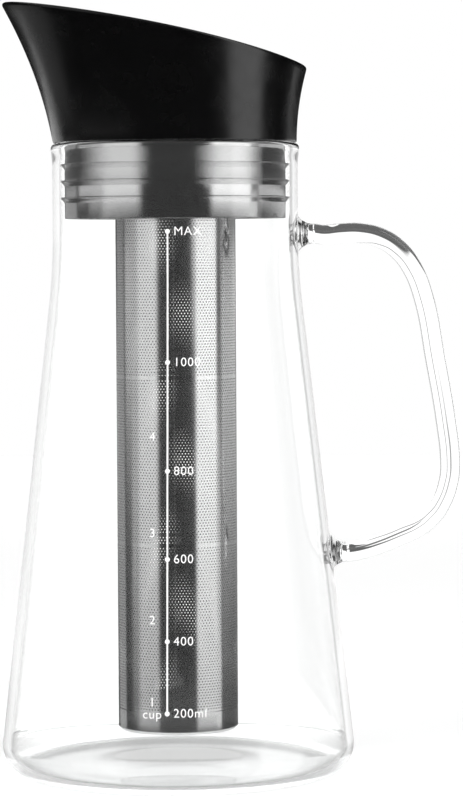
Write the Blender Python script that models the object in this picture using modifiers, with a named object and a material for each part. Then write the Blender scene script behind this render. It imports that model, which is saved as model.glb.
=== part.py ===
"""A glass coffee pot with a hanging filter and a lift-off pouring lid.

The pot is blown glass: a straight cone that closes to a short neck, with a bent glass rod
fused on as its handle. The lid is a black pouring funnel on a skirt. A steel collar covers
the skirt and three soft fins seal it in the neck. A weighted flap, hinged on the handle side
of the throat, opens as the pot is tipped. Under it a spoked carrier holds the top of a
perforated steel filter, which hangs down to just above the floor of the pot.

Metres, +Z up. The origin is the centre of the pot's flat base. The handle is towards +X
and the spout towards -X.
"""
import bmesh
import bpy
import math

# Clearances between separate pieces
SEAT_GAP = 0.0003
HINGE_GAP = 0.0003

# Glass pot
GLASS_WALL = 0.0024
GLASS_FLOOR = 0.0032
POT_HEIGHT = 0.2041
POT_RADIUS = 0.0574
POT_CORNER = 0.0090
NECK_RADIUS = 0.0398
NECK_LENGTH = 0.0401
SHOULDER_BLEND = 0.0120
RIM_BULGE = 0.0004
RIM_BAND = 0.0070

# Glass handle, a bent rod with flared feet
ROD_RADIUS = 0.0033
HANDLE_REACH = 0.0892
HANDLE_DROP = 0.0293
HANDLE_FOOT = 0.0711
WELD_RADIUS = 0.0062
WELD_LENGTH = 0.0050
WELD_SINK = 0.0020

# Steel collar
COLLAR_RADIUS = 0.0358
COLLAR_SHEET = 0.0008
COLLAR_LENGTH = 0.0242
COLLAR_HEM = 0.0003

# Soft fins round the collar
FIN_PITCH = 0.0054
FIN_TOP_DROP = 0.0066
FIN_ROOT = 0.0020
FIN_EDGE = 0.0004
FIN_DROOP = 0.0003

# Pouring funnel of the lid, measured up from the foot that rests on the glass rim
LID_RADIUS = 0.0395
LID_WALL = 0.0024
LID_CORNER = 0.0004
SPOUT_REACH = 0.0565
SPOUT_RISE = 0.0452
BACK_REACH = 0.0434
BACK_RISE = 0.0244
RIM_CROWN_BACK = 0.0080
RIM_CROWN_SPOUT = 0.0030
SKIRT_WALL = 0.0020
SKIRT_SHORT = 0.0014
FLOOR_RISE = 0.0072
FLOOR_THICK = 0.0020
LEDGE_WIDTH = 0.0046
THROAT_RADIUS = 0.0245
THROAT_WALL = 0.0018
THROAT_DEPTH = 0.0050

# Seat of the flap, pressed into the throat
SEAT_FLANGE = 0.0012
SEAT_WALL = 0.0018
SEAT_OPENING = 0.0205
LIP_WIDTH = 0.0012
LIP_RISE = 0.0008
EAR_THICK = 0.0016
EAR_LENGTH = 0.0036
EAR_TOP = 0.0022
EAR_SPREAD = 0.0100
EAR_ROUND = 0.0007

# Flap, its seal, its weight and its pin
SEAL_THICK = 0.0010
SEAL_OVERLAP = 0.0018
FLAP_THICK = 0.0008
FLAP_MARGIN = 0.0007
PIN_RADIUS = 0.0010
PIN_HEAD_RADIUS = 0.0017
PIN_HEAD_LENGTH = 0.0008
KNUCKLE_WALL = 0.0008
KNUCKLE_PLAY = 0.0005
HINGE_SETBACK = 0.0027
LUG_WIDTH = 0.0066
STEM_RADIUS = 0.0015
STEM_HEAD_RADIUS = 0.0032
STEM_HEAD_HEIGHT = 0.0009
BOB_RADIUS = 0.0080
BOB_TIP_RADIUS = 0.0064
BOB_HEIGHT = 0.0110

# Carrier that holds the filter in the skirt
CARRIER_RISE = 0.0012
CARRIER_HEIGHT = 0.0060
CARRIER_WALL = 0.0018
SOCKET_WALL = 0.0015
SOCKET_TOP = 0.0015
SPOKE_WIDTH = 0.0026
SPOKE_HEIGHT = 0.0044

# Filter
FILTER_RADIUS = 0.0195
FILTER_SHEET = 0.0005
FILTER_CLEARANCE = 0.0109
BAND_HEIGHT = 0.0070
CAP_FLOOR = 0.0008
CAP_WALL = 0.0006
CAP_CORNER = 0.0010
SPIGOT_LENGTH = 0.0030
TOP_RING_HEIGHT = 0.0052
TOP_RING_RADIUS = 0.0210
TOP_RING_MOUTH = 0.0172
O_RING_SECTION = 0.0015
O_RING_SQUEEZE = 0.0008

# Fineness of round shapes
POT_STEPS = 48
LID_STEPS = 48
SMALL_STEPS = 32
PIN_STEPS = 16
CORNER_STEPS = 5
BLEND_STEPS = 4
RIM_STEPS = 4
WALL_STEPS = 4
ROD_SIDES = 3
ROD_BEND_STEPS = 2
RING_SIDES = 6
CAP_CORNER_STEPS = 3
SPOKES = 4
SETTLING_ROUNDS = 30

# Helpers for shapes that one overrun can serve
CUT_OVERRUN = 0.0010
WELD_DISTANCE = 0.00001
SHARP_ANGLE = math.radians(32)

# Shares of the sizes above
SPOUT_LEAN_share = 0.47
WELD_FLARE_shares = ((0.0, 1.0), (0.28, 0.45), (0.62, 0.12), (1.0, 0.0))
# From the neck out to the reach, and down from the top foot to the lower one
UPPER_ARM_shares = (
    (0.17, -0.004),
    (0.29, 0.001),
    (0.41, 0.001),
    (0.54, -0.014),
    (0.65, -0.047),
    (0.745, -0.103),
    (0.826, -0.200),
    (0.903, -0.394),
    (0.970, -0.582),
    (1.000, -0.720),
)
# From the cone out to the reach, and up from the lower foot to the top one
LOWER_ARM_shares = (
    (0.987, 0.222),
    (0.905, 0.142),
    (0.820, 0.103),
    (0.732, 0.077),
    (0.564, 0.048),
    (0.394, 0.023),
    (0.240, 0.006),
)

# Places that follow from the sizes
SHOULDER_HEIGHT = POT_HEIGHT - NECK_LENGTH
HANDLE_TOP = POT_HEIGHT - HANDLE_DROP
LID_FOOT = POT_HEIGHT + SEAT_GAP
NECK_BORE = NECK_RADIUS - GLASS_WALL
SKIRT_RADIUS = COLLAR_RADIUS - COLLAR_SHEET - SEAT_GAP
SKIRT_BORE = SKIRT_RADIUS - SKIRT_WALL
SKIRT_DEPTH = SEAT_GAP + COLLAR_LENGTH - SKIRT_SHORT
LEDGE_RADIUS = THROAT_RADIUS + LEDGE_WIDTH
SEAT_BASE = FLOOR_THICK + SEAT_GAP
SEAT_TOP = SEAT_BASE + SEAT_FLANGE
LIP_TOP = SEAT_TOP + LIP_RISE
SEAL_BASE = LIP_TOP + SEAT_GAP
FLAP_BASE = SEAL_BASE + SEAL_THICK + SEAT_GAP
FLAP_TOP = FLAP_BASE + FLAP_THICK
SEAL_RADIUS = SEAT_OPENING + SEAL_OVERLAP
FLAP_RADIUS = SEAL_RADIUS + FLAP_MARGIN
KNUCKLE_BORE = PIN_RADIUS + HINGE_GAP
KNUCKLE_RADIUS = KNUCKLE_BORE + KNUCKLE_WALL
HINGE_X = FLAP_RADIUS + HINGE_SETBACK
HINGE_Z = FLAP_BASE + FLAP_THICK / 2
CARRIER_BASE = CARRIER_RISE - SKIRT_DEPTH
CARRIER_RADIUS = SKIRT_BORE - SEAT_GAP
O_RING_RADIUS = TOP_RING_RADIUS - O_RING_SQUEEZE + O_RING_SECTION / 2
SOCKET_BORE = O_RING_RADIUS + O_RING_SECTION / 2 + SEAT_GAP
SOCKET_RADIUS = SOCKET_BORE + SOCKET_WALL
FILTER_BASE = GLASS_FLOOR + FILTER_CLEARANCE
FILTER_TOP = LID_FOOT + CARRIER_BASE + CARRIER_HEIGHT - SEAT_GAP
TUBE_BORE = FILTER_RADIUS - FILTER_SHEET


def clear_scene():
    for obj in list(bpy.data.objects):
        bpy.data.objects.remove(obj, do_unlink=True)


def collection(name):
    group = bpy.data.collections.new(name)
    bpy.context.scene.collection.children.link(group)
    return group


def finish(name, colour, roughness, metallic, transmission=0.0):
    """A plain material with the piece's own colour."""
    material = bpy.data.materials.new(name)
    material.use_nodes = True
    shader = material.node_tree.nodes["Principled BSDF"]
    shader.inputs["Base Color"].default_value = (*colour, 1.0)
    shader.inputs["Roughness"].default_value = roughness
    shader.inputs["Metallic"].default_value = metallic
    shader.inputs["Transmission Weight"].default_value = transmission
    material.diffuse_color = (*colour, 1.0)
    return material


def empty(name, place, parent=None):
    """A joint's or an assembly's frame, which its pieces are parented to."""
    frame = bpy.data.objects.new(name, None)
    frame.location = place
    frame.parent = parent
    PARTS.objects.link(frame)
    return frame


def add_piece(name, mesh, material, parent, place=(0, 0, 0), group=None):
    mesh.name = name
    mesh.materials.clear()
    mesh.materials.append(material)
    obj = bpy.data.objects.new(name, mesh)
    obj.parent = parent
    obj.location = place
    (group or PARTS).objects.link(obj)
    return obj


def settle(obj):
    """Fix an object's modifiers into its mesh, and shade it smooth between sharp edges."""
    bpy.context.view_layer.update()
    graph = bpy.context.evaluated_depsgraph_get()
    mesh = bpy.data.meshes.new_from_object(obj.evaluated_get(graph))
    mesh.name = obj.name
    mesh.shade_smooth()
    mesh.set_sharp_from_angle(angle=SHARP_ANGLE)
    obj.modifiers.clear()
    obj.data = mesh
    return obj


def outline_mesh(points, closed):
    """An outline in the XZ plane, as a string of edges."""
    shape = bmesh.new()
    corners = [shape.verts.new((radius, 0, height)) for radius, height in points]
    for first, second in zip(corners, corners[1:]):
        shape.edges.new((first, second))
    if closed:
        shape.edges.new((corners[-1], corners[0]))
    mesh = bpy.data.meshes.new("outline")
    shape.to_mesh(mesh)
    shape.free()
    return mesh


def turned(name, points, material, parent, place=(0, 0, 0), steps=SMALL_STEPS, closed=True,
           group=None):
    """Turn an outline about Z. It runs down its outer side, so the faces point outwards."""
    obj = add_piece(name, outline_mesh(points, closed), material, parent, place, group)
    screw = obj.modifiers.new("turn", "SCREW")
    screw.axis = "Z"
    screw.angle = math.tau
    screw.steps = steps
    screw.render_steps = steps
    screw.use_merge_vertices = True
    screw.merge_threshold = WELD_DISTANCE
    screw.use_smooth_shade = True
    return obj


def block(name, low, high, parent, bevel=0.0, turn=0.0):
    """A guide box between two corners, turned about its parent's Z axis."""
    shape = bmesh.new()
    bmesh.ops.create_cube(shape, size=1.0)
    for vert in shape.verts:
        vert.co = [a + (b - a) * (share + 0.5) for a, b, share in zip(low, high, vert.co)]
    mesh = bpy.data.meshes.new(name)
    shape.to_mesh(mesh)
    shape.free()
    obj = add_piece(name, mesh, GUIDE, parent, group=CUTTERS)
    obj.rotation_euler = (0, 0, turn)
    if bevel:
        modifier = obj.modifiers.new("edge", "BEVEL")
        modifier.width = bevel
        modifier.segments = 2
    return obj


def rod_across(name, radius, length, place, parent):
    """A guide bar along Y through a place."""
    shape = bmesh.new()
    bmesh.ops.create_cone(shape, cap_ends=True, segments=PIN_STEPS, radius1=radius,
                          radius2=radius, depth=length)
    mesh = bpy.data.meshes.new(name)
    shape.to_mesh(mesh)
    shape.free()
    obj = add_piece(name, mesh, GUIDE, parent, place, CUTTERS)
    obj.rotation_euler = (math.pi / 2, 0, 0)
    return obj


def as_cutter(obj):
    obj.hide_render = True
    obj.display_type = "WIRE"
    return obj


def combine(obj, other, operation):
    modifier = obj.modifiers.new(operation.lower(), "BOOLEAN")
    modifier.operation = operation
    modifier.solver = "EXACT"
    modifier.object = as_cutter(other)


def arc(centre, radius, start, end, steps):
    """Points on a circle in the XZ plane, from one angle to another."""
    points = []
    for step in range(steps + 1):
        angle = start + (end - start) * step / steps
        points.append((centre[0] + radius * math.cos(angle), centre[1] + radius * math.sin(angle)))
    return points


def pot_lean():
    """How far the cone leans in: it touches the corner's arc and meets the neck."""
    across = NECK_RADIUS - (POT_RADIUS - POT_CORNER)
    up = SHOULDER_HEIGHT - POT_CORNER
    return math.asin(POT_CORNER / math.hypot(across, up)) - math.atan2(across, up)


def pot_side(inset, floor=None):
    """The pot's side from the base to the top of the shoulder, moved in by an inset."""
    lean = pot_lean()
    centre = (POT_RADIUS - POT_CORNER, POT_CORNER)
    radius = POT_CORNER - inset
    start = -math.pi / 2
    if floor is not None:
        start = math.asin((floor - POT_CORNER) / radius)
    corner = arc(centre, radius, start, lean, CORNER_STEPS)
    blend_radius = SHOULDER_BLEND / math.tan(lean / 2)
    blend_centre = (NECK_RADIUS + blend_radius, SHOULDER_HEIGHT + SHOULDER_BLEND)
    blend = arc(blend_centre, blend_radius + inset, math.pi + lean, math.pi, BLEND_STEPS)
    return corner + blend


def pot_radius_at(height):
    """Outer radius of the cone at a height between its corner and its shoulder."""
    return NECK_RADIUS + (SHOULDER_HEIGHT - height) * math.tan(pot_lean())


def make_glass_body():
    inner = pot_side(GLASS_WALL, GLASS_FLOOR)
    outer = pot_side(0.0)
    rim_radius = (GLASS_WALL + RIM_BULGE) / 2
    rim_centre = (NECK_RADIUS + RIM_BULGE - rim_radius, POT_HEIGHT - rim_radius)
    rim = arc(rim_centre, rim_radius, math.pi, 0.0, RIM_STEPS)
    neck_top = (NECK_RADIUS, POT_HEIGHT - RIM_BAND)
    points = [(0, GLASS_FLOOR)] + inner + rim + [neck_top] + outer[::-1] + [(0, 0)]
    return settle(turned("glass_body", points, GLASS, POT, steps=POT_STEPS, closed=False))


def handle_route():
    """Centre line of the handle as (x, z, radius), from the neck round to the cone."""
    rise = HANDLE_TOP - HANDLE_FOOT
    wall_top = NECK_RADIUS
    wall_foot = pot_radius_at(HANDLE_FOOT)
    swell = WELD_RADIUS - ROD_RADIUS
    upper = [(wall_top - WELD_SINK, HANDLE_TOP, WELD_RADIUS)]
    lower = [(wall_foot - WELD_SINK, HANDLE_FOOT, WELD_RADIUS)]
    for along, flare in WELD_FLARE_shares:
        upper.append((wall_top + along * WELD_LENGTH, HANDLE_TOP, ROD_RADIUS + flare * swell))
        lower.append((wall_foot + along * WELD_LENGTH, HANDLE_FOOT, ROD_RADIUS + flare * swell))
    for out, along in UPPER_ARM_shares:
        place = wall_top + out * (HANDLE_REACH - wall_top)
        upper.append((place, HANDLE_TOP + along * rise, ROD_RADIUS))
    arm = []
    for out, along in LOWER_ARM_shares:
        place = wall_foot + out * (HANDLE_REACH - wall_foot)
        arm.append((place, HANDLE_FOOT + along * rise, ROD_RADIUS))
    return upper + arm + lower[::-1]


def make_glass_handle():
    """The rod is bent as a curve, made a mesh, and its feet are cut to the pot's wall."""
    route = handle_route()
    curve = bpy.data.curves.new("handle_curve", "CURVE")
    curve.dimensions = "3D"
    curve.bevel_depth = ROD_RADIUS
    curve.bevel_resolution = ROD_SIDES
    curve.resolution_u = ROD_BEND_STEPS
    curve.use_fill_caps = True
    spline = curve.splines.new("BEZIER")
    spline.bezier_points.add(len(route) - 1)
    for point, (across, height, radius) in zip(spline.bezier_points, route):
        point.co = (across, 0, height)
        point.radius = radius / ROD_RADIUS
        point.handle_left_type = "AUTO"
        point.handle_right_type = "AUTO"
    bent = bpy.data.objects.new("handle_curve", curve)
    PARTS.objects.link(bent)
    bpy.context.view_layer.update()
    graph = bpy.context.evaluated_depsgraph_get()
    mesh = bpy.data.meshes.new_from_object(bent.evaluated_get(graph))
    mesh.transform(bent.matrix_world)
    bpy.data.objects.remove(bent)
    shape = bmesh.new()
    shape.from_mesh(mesh)
    bmesh.ops.remove_doubles(shape, verts=shape.verts, dist=WELD_DISTANCE)
    bmesh.ops.recalc_face_normals(shape, faces=shape.faces)
    shape.to_mesh(mesh)
    shape.free()
    handle = add_piece("glass_handle", mesh, GLASS, POT)
    top = (0, POT_HEIGHT + SEAT_GAP)
    outline = [top, (NECK_RADIUS + SEAT_GAP, POT_HEIGHT + SEAT_GAP)]
    outline += pot_side(-SEAT_GAP)[::-1] + [(0, -SEAT_GAP)]
    wall = turned("pot_envelope", outline, GUIDE, POT, steps=POT_STEPS, closed=False,
                  group=CUTTERS)
    combine(handle, wall, "DIFFERENCE")
    return settle(handle)


def make_collar():
    """A steel sleeve over the skirt, its lower edge turned to a small round hem."""
    bore = COLLAR_RADIUS - COLLAR_SHEET
    points = [
        (COLLAR_RADIUS - COLLAR_HEM, 0),
        (COLLAR_RADIUS, -COLLAR_HEM),
        (COLLAR_RADIUS, COLLAR_HEM - COLLAR_LENGTH),
        (COLLAR_RADIUS - COLLAR_HEM, -COLLAR_LENGTH),
        (bore, -COLLAR_LENGTH),
        (bore, 0),
    ]
    place = (0, 0, -SEAT_GAP)
    return settle(turned("collar_sleeve", points, STEEL, LID, place, POT_STEPS))


def make_fins():
    """Three soft rings with a thick root on the collar and a thin drooping edge."""
    root = COLLAR_RADIUS + SEAT_GAP
    tip = NECK_BORE - SEAT_GAP
    points = [
        (root, 0),
        (tip, -FIN_DROOP),
        (tip, -FIN_DROOP - FIN_EDGE),
        (root, -FIN_ROOT),
    ]
    for place, name in enumerate(("seal_fin_top", "seal_fin_middle", "seal_fin_bottom")):
        drop = FIN_TOP_DROP + place * FIN_PITCH
        settle(turned(name, points, CLEAR_SILICONE, LID, (0, 0, -drop), POT_STEPS))


def spout_front(rise):
    """Distance of the funnel's wall from the axis on the spout side."""
    share = rise / SPOUT_RISE
    flare = SPOUT_LEAN_share * share + (1 - SPOUT_LEAN_share) * share ** 2
    return LID_RADIUS + (SPOUT_REACH - LID_RADIUS) * flare


def spout_back(rise):
    """Distance of the funnel's wall from the axis on the handle side."""
    return LID_RADIUS + (BACK_REACH - LID_RADIUS) * (rise / BACK_RISE) ** 2


def funnel_point(azimuth, rise, inset):
    """A point on the funnel's round section at a rise, moved in from the outer wall."""
    front = spout_front(rise)
    back = spout_back(rise)
    radius = (front + back) / 2 - inset
    centre = (back - front) / 2
    return (centre + radius * math.cos(azimuth), radius * math.sin(azimuth), rise)


def rim_rise(azimuth):
    """Where the slanting, slightly crowned rim cuts the funnel's wall."""
    rise = (SPOUT_RISE + BACK_RISE) / 2
    for _ in range(SETTLING_ROUNDS):
        across = funnel_point(azimuth, rise, 0.0)[0]
        share = (BACK_REACH - across) / (BACK_REACH + SPOUT_REACH)
        crown_height = RIM_CROWN_BACK + (RIM_CROWN_SPOUT - RIM_CROWN_BACK) * share
        crown = crown_height * share * (1 - share)
        rise = BACK_RISE + (SPOUT_RISE - BACK_RISE) * share + crown
    return rise


def funnel_rings():
    """Rings of the funnel, down its outside, under its foot and up its inside."""
    azimuths = [math.tau * step / LID_STEPS for step in range(LID_STEPS)]
    rims = [rim_rise(azimuth) for azimuth in azimuths]
    round_off = LID_WALL / 2
    rings = []

    def flared(inset, low, share, above=0.0):
        ring = []
        for azimuth, rim in zip(azimuths, rims):
            rise = low + (rim - round_off - low) * share + above
            ring.append(funnel_point(azimuth, rise, inset))
        rings.append(ring)

    def plain(radius, height):
        rings.append([(radius * math.cos(a), radius * math.sin(a), height) for a in azimuths])

    for step in range(WALL_STEPS):
        angle = math.pi * (step + 1) / (WALL_STEPS + 1)
        inset = round_off * (1 + math.cos(angle))
        flared(inset, 0.0, 1.0, round_off * math.sin(angle))
    for step in range(WALL_STEPS + 1):
        flared(0.0, LID_CORNER, 1 - step / WALL_STEPS)
    plain(LID_RADIUS - LID_CORNER, 0.0)
    plain(SKIRT_RADIUS, 0.0)
    plain(SKIRT_RADIUS, -SKIRT_DEPTH)
    plain(SKIRT_BORE, -SKIRT_DEPTH)
    plain(SKIRT_BORE, 0.0)
    plain(THROAT_RADIUS + THROAT_WALL, 0.0)
    plain(THROAT_RADIUS + THROAT_WALL, -THROAT_DEPTH)
    plain(THROAT_RADIUS, -THROAT_DEPTH)
    plain(THROAT_RADIUS, FLOOR_THICK)
    plain(LEDGE_RADIUS, FLOOR_THICK)
    for step in range(WALL_STEPS + 1):
        flared(LID_WALL, FLOOR_RISE, step / WALL_STEPS)
    return rings


def make_funnel():
    """Loft the unlike rings into one closed wall."""
    shape = bmesh.new()
    rings = [[shape.verts.new(point) for point in ring] for ring in funnel_rings()]
    for ring, following in zip(rings, rings[1:] + rings[:1]):
        for step in range(LID_STEPS):
            after = (step + 1) % LID_STEPS
            shape.faces.new((ring[step], following[step], following[after], ring[after]))
    bmesh.ops.recalc_face_normals(shape, faces=shape.faces)
    mesh = bpy.data.meshes.new("spout_funnel")
    shape.to_mesh(mesh)
    shape.free()
    return settle(add_piece("spout_funnel", mesh, BLACK, LID))


def make_flap_seat():
    """A ring with a raised lip, a spigot down the throat and two ears for the pin."""
    spigot = THROAT_RADIUS - SEAT_GAP
    points = [
        (LEDGE_RADIUS - SEAT_GAP, SEAT_TOP),
        (LEDGE_RADIUS - SEAT_GAP, SEAT_BASE),
        (spigot, SEAT_BASE),
        (spigot, -THROAT_DEPTH),
        (spigot - SEAT_WALL, -THROAT_DEPTH),
        (spigot - SEAT_WALL, 0),
        (SEAT_OPENING, SEAT_BASE),
        (SEAT_OPENING, LIP_TOP),
        (SEAT_OPENING + LIP_WIDTH, LIP_TOP),
        (SEAT_OPENING + LIP_WIDTH, SEAT_TOP),
    ]
    seat = turned("flap_seat", points, GREY, LID)
    ear_low = SEAT_BASE + SEAT_FLANGE / 2
    ear_high = HINGE_Z + EAR_TOP
    for side in (-1, 1):
        inner = side * EAR_SPREAD / 2
        outer = inner + side * EAR_THICK
        low = (HINGE_X - EAR_LENGTH / 2, min(inner, outer), ear_low)
        high = (HINGE_X + EAR_LENGTH / 2, max(inner, outer), ear_high)
        ear = block(f"ear_{side:+d}", low, high, LID, EAR_ROUND)
        combine(seat, ear, "UNION")
    length = EAR_SPREAD + 2 * EAR_THICK + 2 * CUT_OVERRUN
    hole = rod_across("ear_hole", KNUCKLE_BORE, length, (HINGE_X, 0, HINGE_Z), LID)
    combine(seat, hole, "DIFFERENCE")
    return settle(seat)


def make_flap_pin():
    """A small headed pin across the two ears, on the flap's hinge axis."""
    half = EAR_SPREAD / 2 + EAR_THICK + SEAT_GAP
    head = half + PIN_HEAD_LENGTH
    points = [
        (0, head),
        (PIN_HEAD_RADIUS, head),
        (PIN_HEAD_RADIUS, half),
        (PIN_RADIUS, half),
        (PIN_RADIUS, -half),
        (PIN_HEAD_RADIUS, -half),
        (PIN_HEAD_RADIUS, -head),
        (0, -head),
    ]
    place = (HINGE_X, 0, HINGE_Z)
    pin = turned("flap_pin", points, STEEL, LID, place, PIN_STEPS, closed=False)
    pin.rotation_euler = (math.pi / 2, 0, 0)
    return settle(pin)


def make_flap_plate():
    """A steel disc with a lug and a knuckle that turns on the pin."""
    low = FLAP_BASE - HINGE_Z
    high = FLAP_TOP - HINGE_Z
    centre = (-HINGE_X, 0, 0)
    stem_bore = STEM_RADIUS + SEAT_GAP
    points = [(FLAP_RADIUS, high), (FLAP_RADIUS, low), (stem_bore, low), (stem_bore, high)]
    plate = turned("flap_plate", points, STEEL, FLAP, centre)
    half = LUG_WIDTH / 2
    lug = block("flap_lug", (FLAP_RADIUS - HINGE_X - KNUCKLE_RADIUS, -half, low),
                (0, half, high), FLAP)
    width = EAR_SPREAD - 2 * KNUCKLE_PLAY
    knuckle = rod_across("knuckle", KNUCKLE_RADIUS, width, (0, 0, 0), FLAP)
    bore = rod_across("knuckle_bore", KNUCKLE_BORE, width + 2 * CUT_OVERRUN, (0, 0, 0), FLAP)
    combine(plate, lug, "UNION")
    combine(plate, knuckle, "UNION")
    combine(plate, bore, "DIFFERENCE")
    return settle(plate)


def make_flap_seal():
    """A soft disc under the plate, held by the weight's stem."""
    low = SEAL_BASE - HINGE_Z
    high = low + SEAL_THICK
    stem_bore = STEM_RADIUS + SEAT_GAP
    points = [(SEAL_RADIUS, high), (SEAL_RADIUS, low), (stem_bore, low), (stem_bore, high)]
    return settle(turned("flap_seal", points, SILICONE, FLAP, (-HINGE_X, 0, 0)))


def make_flap_weight():
    """A turned bob under the flap, riveted through it, which shuts it when the pot stands."""
    head = FLAP_TOP + SEAT_GAP - HINGE_Z
    shoulder = SEAL_BASE - SEAT_GAP - HINGE_Z
    points = [
        (0, head + STEM_HEAD_HEIGHT),
        (STEM_RADIUS, head + STEM_HEAD_HEIGHT),
        (STEM_HEAD_RADIUS, head),
        (STEM_RADIUS, head),
        (STEM_RADIUS, shoulder),
        (BOB_RADIUS, shoulder),
        (BOB_TIP_RADIUS, shoulder - BOB_HEIGHT),
        (0, shoulder - BOB_HEIGHT),
    ]
    place = (-HINGE_X, 0, 0)
    return settle(turned("flap_weight", points, STEEL, FLAP, place, closed=False))


def make_carrier():
    """A ring in the skirt, joined by spokes to the closed socket of the filter."""
    base = CARRIER_BASE
    ring_bore = CARRIER_RADIUS - CARRIER_WALL
    points = [
        (CARRIER_RADIUS, base + CARRIER_HEIGHT),
        (CARRIER_RADIUS, base),
        (ring_bore, base),
        (ring_bore, base + CARRIER_HEIGHT),
    ]
    carrier = turned("filter_carrier", points, GREY, LID)
    ceiling = base + CARRIER_HEIGHT
    hub_points = [
        (0, ceiling + SOCKET_TOP),
        (SOCKET_RADIUS, ceiling + SOCKET_TOP),
        (SOCKET_RADIUS, base),
        (SOCKET_BORE, base),
        (SOCKET_BORE, ceiling),
        (0, ceiling),
    ]
    hub = turned("carrier_hub", hub_points, GUIDE, LID, closed=False, group=CUTTERS)
    combine(carrier, hub, "UNION")
    spoke_low = base + (CARRIER_HEIGHT - SPOKE_HEIGHT) / 2
    start = SOCKET_RADIUS - SOCKET_WALL / 2
    end = CARRIER_RADIUS - CARRIER_WALL / 2
    for number in range(SPOKES):
        turn = math.tau * (number + 0.5) / SPOKES
        low = (start, -SPOKE_WIDTH / 2, spoke_low)
        high = (end, SPOKE_WIDTH / 2, spoke_low + SPOKE_HEIGHT)
        spoke = block(f"spoke_{number}", low, high, LID, turn=turn)
        combine(carrier, spoke, "UNION")
    return settle(carrier)


def top_ring_bounds():
    """Low and high edge of the filter's top ring, and the middle of its groove."""
    low = FILTER_TOP - TOP_RING_HEIGHT - FILTER_BASE
    high = FILTER_TOP - FILTER_BASE
    return low, high, (low + high) / 2


def make_filter_top_ring():
    """A ring on the filter's mouth, with a groove for the soft ring that grips the socket."""
    low, high, groove = top_ring_bounds()
    half = O_RING_SECTION / 2 + SEAT_GAP
    depth = O_RING_RADIUS - O_RING_SECTION / 2 - SEAT_GAP
    spigot = TUBE_BORE - SEAT_GAP
    points = [
        (TOP_RING_RADIUS, high),
        (TOP_RING_RADIUS, groove + half),
        (depth, groove + half),
        (depth, groove - half),
        (TOP_RING_RADIUS, groove - half),
        (TOP_RING_RADIUS, low),
        (spigot, low),
        (spigot, low - SPIGOT_LENGTH),
        (TOP_RING_MOUTH, low - SPIGOT_LENGTH),
        (TOP_RING_MOUTH, high),
    ]
    return settle(turned("filter_top_ring", points, STEEL, FILTER))


def make_filter_seal():
    """The soft ring in the groove of the filter's top ring."""
    middle = top_ring_bounds()[2]
    points = arc((O_RING_RADIUS, 0), O_RING_SECTION / 2, math.pi, -math.pi,
                 RING_SIDES)[:-1]
    place = (0, 0, middle)
    return settle(turned("filter_seal_ring", points, SILICONE, FILTER, place))


def make_filter_tube():
    """The perforated tube, between the plain cap and the top ring."""
    high = top_ring_bounds()[0] - SEAT_GAP
    low = BAND_HEIGHT + SEAT_GAP
    points = [
        (FILTER_RADIUS, high),
        (FILTER_RADIUS, low),
        (TUBE_BORE, low),
        (TUBE_BORE, high),
    ]
    return settle(turned("filter_tube", points, STEEL, FILTER))


def make_filter_cap():
    """The plain cup that closes the filter's foot, with a spigot up inside the tube."""
    spigot = TUBE_BORE - SEAT_GAP
    bore = spigot - CAP_WALL
    corner = arc((FILTER_RADIUS - CAP_CORNER, CAP_CORNER), CAP_CORNER, 0, -math.pi / 2,
                 CAP_CORNER_STEPS)
    points = [
        (0, CAP_FLOOR),
        (bore, CAP_FLOOR),
        (bore, BAND_HEIGHT + SPIGOT_LENGTH),
        (spigot, BAND_HEIGHT + SPIGOT_LENGTH),
        (spigot, BAND_HEIGHT),
        (FILTER_RADIUS, BAND_HEIGHT),
    ]
    points += corner + [(0, 0)]
    return settle(turned("filter_base_cap", points, STEEL, FILTER, closed=False))


clear_scene()
PARTS = collection("glass_coffee_pot")
CUTTERS = collection("cutters")

GLASS = finish("clear_glass", (0.96, 0.98, 0.98), 0.02, 0.0, 1.0)
STEEL = finish("brushed_steel", (0.62, 0.61, 0.60), 0.28, 1.0)
BLACK = finish("black_plastic", (0.015, 0.015, 0.016), 0.32, 0.0)
GREY = finish("dark_plastic", (0.05, 0.05, 0.052), 0.45, 0.0)
SILICONE = finish("dark_silicone", (0.09, 0.09, 0.09), 0.55, 0.0)
CLEAR_SILICONE = finish("clear_silicone", (0.86, 0.87, 0.87), 0.25, 0.0, 0.8)
GUIDE = finish("guide", (0.5, 0.5, 0.5), 0.5, 0.0)

POT = empty("pot_frame", (0, 0, 0))
FILTER = empty("filter_frame", (0, 0, FILTER_BASE), POT)
LID = empty("lid_frame", (0, 0, LID_FOOT), POT)
FLAP = empty("flap_hinge_axis", (HINGE_X, 0, HINGE_Z), LID)

make_glass_body()
make_glass_handle()
make_funnel()
make_collar()
make_fins()
make_flap_seat()
make_flap_pin()
make_flap_plate()
make_flap_seal()
make_flap_weight()
make_carrier()
make_filter_seal()
make_filter_top_ring()
make_filter_tube()
make_filter_cap()
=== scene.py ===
import bmesh
import bpy
import math
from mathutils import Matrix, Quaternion, Vector


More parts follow.
